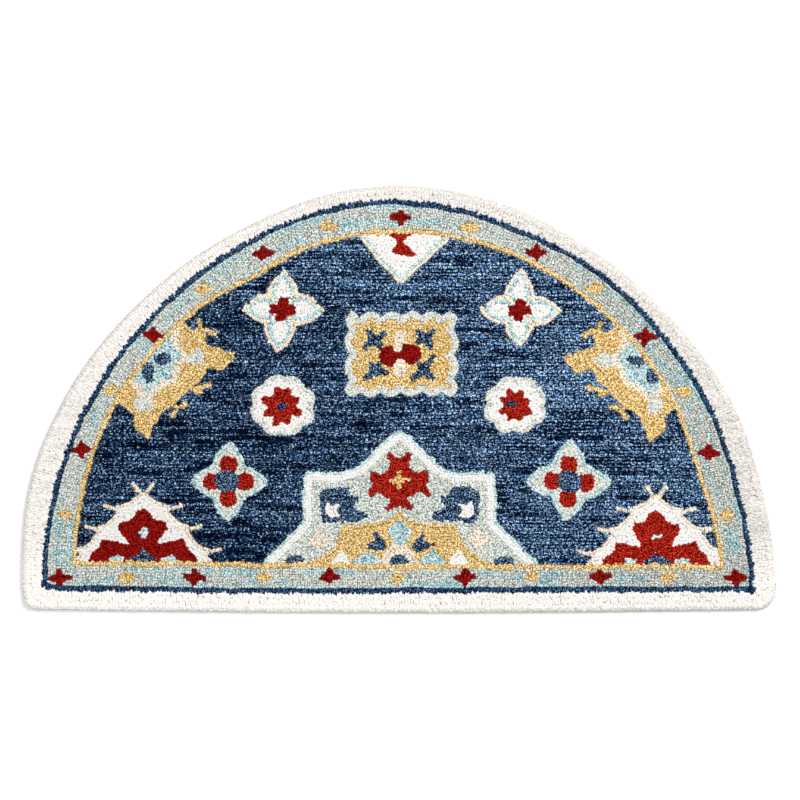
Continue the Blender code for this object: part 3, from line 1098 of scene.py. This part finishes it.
# a node tree that stands one loop of yarn on every point
def loopTree():
    tree = bpy.data.node_groups.new("tuftedLoops", "GeometryNodeTree")
    wanted = {}
    for name, kind in (("Geometry", "Geometry"), ("Loop width", "Float"), ("Loop length", "Float"),
                       ("Pile height", "Float"), ("Unevenness", "Float"), ("Stray turn", "Float"),
                       ("Seed", "Int"), ("Wool", "Material")):
        socket = tree.interface.new_socket(name, in_out="INPUT", socket_type="NodeSocket" + kind)
        wanted[name] = socket.identifier
    tree.interface.new_socket("Geometry", in_out="OUTPUT", socket_type="NodeSocketGeometry")
    given = tree.nodes.new("NodeGroupInput").outputs
    add = partial(added, tree)

    def calculated(operation, *values):
        return add("ShaderNodeMath", "Value", values, operation=operation)

    def combined(operation, *vectors):
        return add("ShaderNodeVectorMath", "Vector", vectors, operation=operation)

    def joined(*parts):
        return add("ShaderNodeCombineXYZ", "Vector", parts)

    def named(label):
        return add("GeometryNodeInputNamedAttribute", "Attribute", {"Name": label}, data_type="FLOAT_VECTOR")

    def randomBetween(low, high):
        return add("FunctionNodeRandomValue", "Value", {0: low, 1: high, "Seed": given["Seed"]},
                   data_type="FLOAT_VECTOR")

    def separated():
        position = add("GeometryNodeInputPosition", "Position")
        return add("ShaderNodeSeparateXYZ", "X", [position]).node.outputs

    # the ball becomes a standing loop with a level foot and a round top
    ball = add("GeometryNodeMeshUVSphere", "Mesh",
               {"Segments": loopForm["sides"], "Rings": loopForm["rings"], "Radius": 0.5})
    here = separated()
    profile = add("ShaderNodeFloatCurve", "Value", {"Value": calculated("ADD", here["Z"], 0.5)})
    mapping = profile.node.mapping
    ends = mapping.curves[0].points
    ends[0].location = (0.0, 0.0)
    ends[1].location = (1.0, 1.0)
    ends.new(0.25, loopForm["lowRing"])
    ends.new(0.75, loopForm["highRing"])
    for point in ends:
        point.handle_type = "VECTOR"
    mapping.update()
    shape = add("GeometryNodeSetPosition", "Geometry",
                {"Geometry": ball, "Position": joined(here["X"], here["Y"], profile)})
    smooth = add("GeometryNodeSetShadeSmooth", "Geometry", {"Geometry": shape})
    marked = add("GeometryNodeStoreNamedAttribute", "Geometry",
                 {"Name": "loopHeight", "Geometry": smooth, "Value": separated()["Z"]})

    # how large each loop is, and how it is turned
    size = joined(given["Loop width"], given["Loop length"], given["Pile height"])
    spread = randomBetween(calculated("SUBTRACT", 1.0, given["Unevenness"]),
                           calculated("ADD", 1.0, given["Unevenness"]))
    grown = combined("MULTIPLY", combined("MULTIPLY", size, named("loopSize")), spread)
    back = calculated("MULTIPLY", given["Stray turn"], -1.0)
    turned = combined("ADD", named("loopFacing"), randomBetween(back, given["Stray turn"]))
    aim = add("FunctionNodeEulerToRotation", "Rotation", {"Euler": turned})

    stand = add("GeometryNodeInstanceOnPoints", "Instances",
                {"Points": given["Geometry"], "Instance": marked, "Rotation": aim, "Scale": grown})
    real = add("GeometryNodeRealizeInstances", "Geometry", {"Geometry": stand})
    woolly = add("GeometryNodeSetMaterial", "Geometry", {"Geometry": real, "Material": given["Wool"]})
    feed(tree, tree.nodes.new("NodeGroupOutput"), [woolly])
    return tree, wanted


pileTree, pileInputs = loopTree()
pileSettings = {
    "Loop width": tufting["loopWidth"] * mm, "Loop length": tufting["loopLength"] * mm,
    "Pile height": tufting["pileHeight"] * mm, "Unevenness": 0.07, "Stray turn": 0.17, "Seed": 5,
    "Wool": tuftedWool,
}


# values for each point of a mesh: numbers, colours where the name says yarn, or vectors
def addAttributes(mesh, layers):
    for label, values in layers.items():
        kind, field = "FLOAT_VECTOR", "vector"
        if values.ndim == 1:
            kind, field = "FLOAT", "value"
        elif label.startswith("yarn"):
            kind, field = "FLOAT_COLOR", "color"
            values = np.column_stack([values, np.ones(len(values))])
        layer = mesh.attributes.new(label, kind, "POINT")
        layer.data.foreach_set(field, values.astype(np.float32).ravel())


def addObject(name, data):
    thing = bpy.data.objects.new(name, data)
    bpy.context.scene.collection.objects.link(thing)
    return thing


# a mesh of bare points, one for each loop, with what the tree and the wool read
def pointMesh(name, chosen):
    mesh = bpy.data.meshes.new(name)
    count = int(chosen.sum())
    here = {column: values[chosen] for column, values in loops.items()}
    place = np.stack([here["x"], here["y"], tufting["pileFoot"] + here["lift"]], 1) * mm
    mesh.vertices.add(count)
    mesh.vertices.foreach_set("co", place.astype(np.float32).ravel())
    addAttributes(mesh, {
        "loopFacing": np.stack([here["lean"], np.zeros(count), here["turn"]], 1),
        "loopSize": np.stack([here["width"], here["length"], here["height"]], 1),
    })
    addAttributes(mesh, {label: values[chosen] for label, values in loopShade.items()})
    return mesh


# one field of all of a mesh's points, corners or faces
def readAll(parts, field, kind, width=1):
    values = np.empty(len(parts) * width, kind)
    parts.foreach_get(field, values)
    return values


# A map for the piece's colours, seen from above and spread a little towards its foot.
# Faces that look down share a strip of it.
def addBakeMap(mesh, strip, spread=0.03, margin=0.01):
    place = readAll(mesh.vertices, "co", np.float32, 3).reshape(-1, 3)
    flat = place[:, :2] * (1.0 + spread * (1.0 - place[:, 2:] / place[:, 2].max()))
    share = (flat - flat.min(0)) / np.maximum(np.ptp(flat, axis=0), 1e-9)
    looksDown = readAll(mesh.polygons, "normal", np.float32, 3)[2::3] < -0.5
    down = np.repeat(looksDown, readAll(mesh.polygons, "loop_total", np.int32))
    uv = margin + (1.0 - 2 * margin) * share[readAll(mesh.loops, "vertex_index", np.int32)]
    uv[:, 1] = np.where(down, strip * uv[:, 1], strip + (1.0 - strip) * uv[:, 1])
    layer = mesh.uv_layers.new(name="OFBake")
    layer.data.foreach_set("uv", uv.astype(np.float32).ravel())


# one piece of the pile, from the tree to a plain mesh
def makePile(name, chosen, changes):
    seedling = addObject(name + "Points", pointMesh(name + "Points", chosen))
    grow = seedling.modifiers.new("loops", "NODES")
    grow.node_group = pileTree
    for setting, value in {**pileSettings, **changes}.items():
        grow[pileInputs[setting]] = value
    mesh = bpy.data.meshes.new_from_object(seedling.evaluated_get(bpy.context.evaluated_depsgraph_get()))
    seedling.modifiers.remove(grow)
    bpy.data.objects.remove(seedling, do_unlink=True)
    mesh.name = name
    addBakeMap(mesh, 0.08)
    mesh.calc_loop_triangles()
    print("pile piece", name + ":", int(chosen.sum()), "loops,", len(mesh.loop_triangles), "triangles")
    return addObject(name, mesh)


# The field's pile is made in two halves, and the lines have straighter rows.
loopPile = np.array([shape["pile"] for shape in chart])[loopOwner]
loopPile = np.where(loopPile == "fieldPile", np.where(loops["x"] < 0.0, "fieldPileLeft", "fieldPileRight"),
                    loopPile)
lineChanges = {"linePile": {"Unevenness": 0.03, "Stray turn": 0.08}}
pile = [makePile(name, loopPile == name, lineChanges.get(name, {}))
        for name in ("edgePile", "borderPile", "linePile", "flowerPile", "medallionPile", "cornerPile",
                     "hearthPile", "fieldPileLeft", "fieldPileRight")]


# the cloth that the loops are tufted through

ground = {"inset": 3.8, "top": 7.2, "rise": 1.6, "riseWithin": (5.0, 10.0), "hem": 1.2, "tuck": 0.0025,
          "rimStep": 6.0, "cell": 7.0}


# one closed sheet: on top the painted shade of the roots of the yarn above, and canvas below
def makeGround():
    g = ground
    rim, _ = inset(rugRim, g["inset"], g["rimStep"])
    count = len(rim)
    low, high = rim.min(0), rim.max(0)
    xs, ys = np.meshgrid(np.arange(low[0], high[0], g["cell"]), np.arange(low[1], high[1], g["cell"] * 0.866))
    xs = xs + (np.arange(xs.shape[0]) % 2)[:, None] * 0.5 * g["cell"]
    inner = np.stack([xs.ravel(), ys.ravel()], 1)
    inner = inner[depthInside(rim, inner) > 0.55 * g["cell"]]
    ring = [(i, (i + 1) % count) for i in range(count)]
    found = delaunay_2d_cdt([Vector(point) for point in np.vstack([rim, inner])], ring, [], 1, 1e-6)
    flat = np.array([tuple(point) for point in found[0]])
    level = g["top"] + g["rise"] * np.clip(past(depthInside(rim, flat), *g["riseWithin"]), 0.0, 1.0)
    points = np.column_stack([flat, level]).tolist()
    faces = [tuple(face) for face in found[2]]
    upper = [0] * count
    for index, origins in enumerate(found[3]):
        for origin in origins:
            if origin < count:
                upper[origin] = index
    rings = [upper]
    for level, outline in ((g["hem"], rim), (0.0, rim * (1.0 - g["tuck"]))):
        rings.append(list(range(len(points), len(points) + count)))
        points += [(x, y, level) for x, y in outline]
    if polygonArea(rim) < 0:
        rings = [around[::-1] for around in rings]
    walls = []
    for above, below in zip(rings, rings[1:]):
        walls += [(above[i - 1], below[i - 1], below[i], above[i]) for i in range(count)]
    mesh = bpy.data.meshes.new("rugGround")
    under = tuple(rings[2][::-1])
    mesh.from_pydata([(x * mm, y * mm, z * mm) for x, y, z in points], [], faces + walls + [under])
    mesh.update()
    mesh.materials.append(tuftedWool)
    mesh.materials.append(backingCanvas)
    for polygon in mesh.polygons:
        polygon.material_index = int(polygon.index >= len(faces) + count)
    yarn, _ = yarnAt(np.array(points)[:, :2])
    body, light, deep, creaseShade = [yarnValues(yarn, column) for column in ("body", "light", "deep", "creaseShade")]
    # painted shade: the sheet's top is seen only in the gaps between loops, so it takes the darkened deep
    # colour of the yarn above, leaning to its body colour where the yarn's crease shade is weak
    bodyInRootShade = np.clip(2.0 * (1.0 - creaseShade), 0.0, 1.0)[:, None]
    addAttributes(mesh, {
        "yarnBody": body, "yarnLight": light, "yarnDeep": bodyInRootShade * body + (1.0 - bodyInRootShade) * deep,
        "lightFrom": np.full(len(points), 0.6), "deepBelow": np.full(len(points), 0.5),
        "creaseShadeTop": np.full(len(points), 1.0), "fleckRun": np.ones((len(points), 3)),
    })
    addBakeMap(mesh, 0.4)
    print("ground made:", len(mesh.polygons), "faces")
    return addObject("rugGround", mesh)


groundPiece = makeGround()


# floor, light and camera

studio = {
    "floorSize": 14.0, "floorColour": (0.94, 0.94, 0.94, 1.0), "sky": 0.69,
    "keyLamp": ((1.35, 1.15, 2.3), 0.9, 57.5),      # place, width and power
    "fillLamp": ((-1.6, -0.6, 2.4), 1.6, 13.0),
}


def makeFloor():
    mesh = bpy.data.meshes.new("studioFloor")
    half = 0.5 * studio["floorSize"]
    mesh.from_pydata([(-half, -half, 0), (half, -half, 0), (half, half, 0), (-half, half, 0)], [],
                     [(0, 1, 2, 3)])
    paper, _, _ = newMaterial("palePaper", Base_Color=studio["floorColour"], Roughness=1.0,
                              Specular_IOR_Level=0.0)
    mesh.materials.append(paper)
    addObject("studioFloor", mesh)


def addLamp(name):
    place, width, power = studio[name]
    lamp = bpy.data.lights.new(name, "AREA")
    lamp.shape = "DISK"
    lamp.size = width
    lamp.energy = power
    holder = addObject(name, lamp)
    holder.location = place
    holder.rotation_euler = (-Vector(place)).to_track_quat("-Z", "Y").to_euler()


def makeStudio():
    makeFloor()
    addLamp("keyLamp")
    addLamp("fillLamp")
    world = bpy.data.worlds.new("studioSky")
    world.use_nodes = True
    feed(world.node_tree, world.node_tree.nodes["Background"],
         {"Color": (1.0, 1.0, 1.0, 1.0), "Strength": studio["sky"]})
    bpy.context.scene.world = world
    bpy.context.scene.view_settings.view_transform = "Standard"


photo = {"pixels": 800, "millimetresAPixel": 1.545, "lens": 85.0, "sensor": 36.0, "offset": (0.8, -1.5)}


# straight above the rug, at the photo's scale
def makeCamera():
    camera = bpy.data.cameras.new("overheadCamera")
    camera.lens = photo["lens"]
    camera.sensor_width = photo["sensor"]
    across = photo["pixels"] * photo["millimetresAPixel"] * mm
    away = across * camera.lens / camera.sensor_width
    holder = addObject("overheadCamera", camera)
    x, y = photo["offset"]
    holder.location = (x * mm, y * mm, boxHigh.z + away)
    bpy.context.scene.camera = holder


makeStudio()
makeCamera()
print("studio ready")


# what rides, and what stands for the solid

for piece in [groundPiece, *pile]:
    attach(piece, "root")
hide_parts(rugNode)
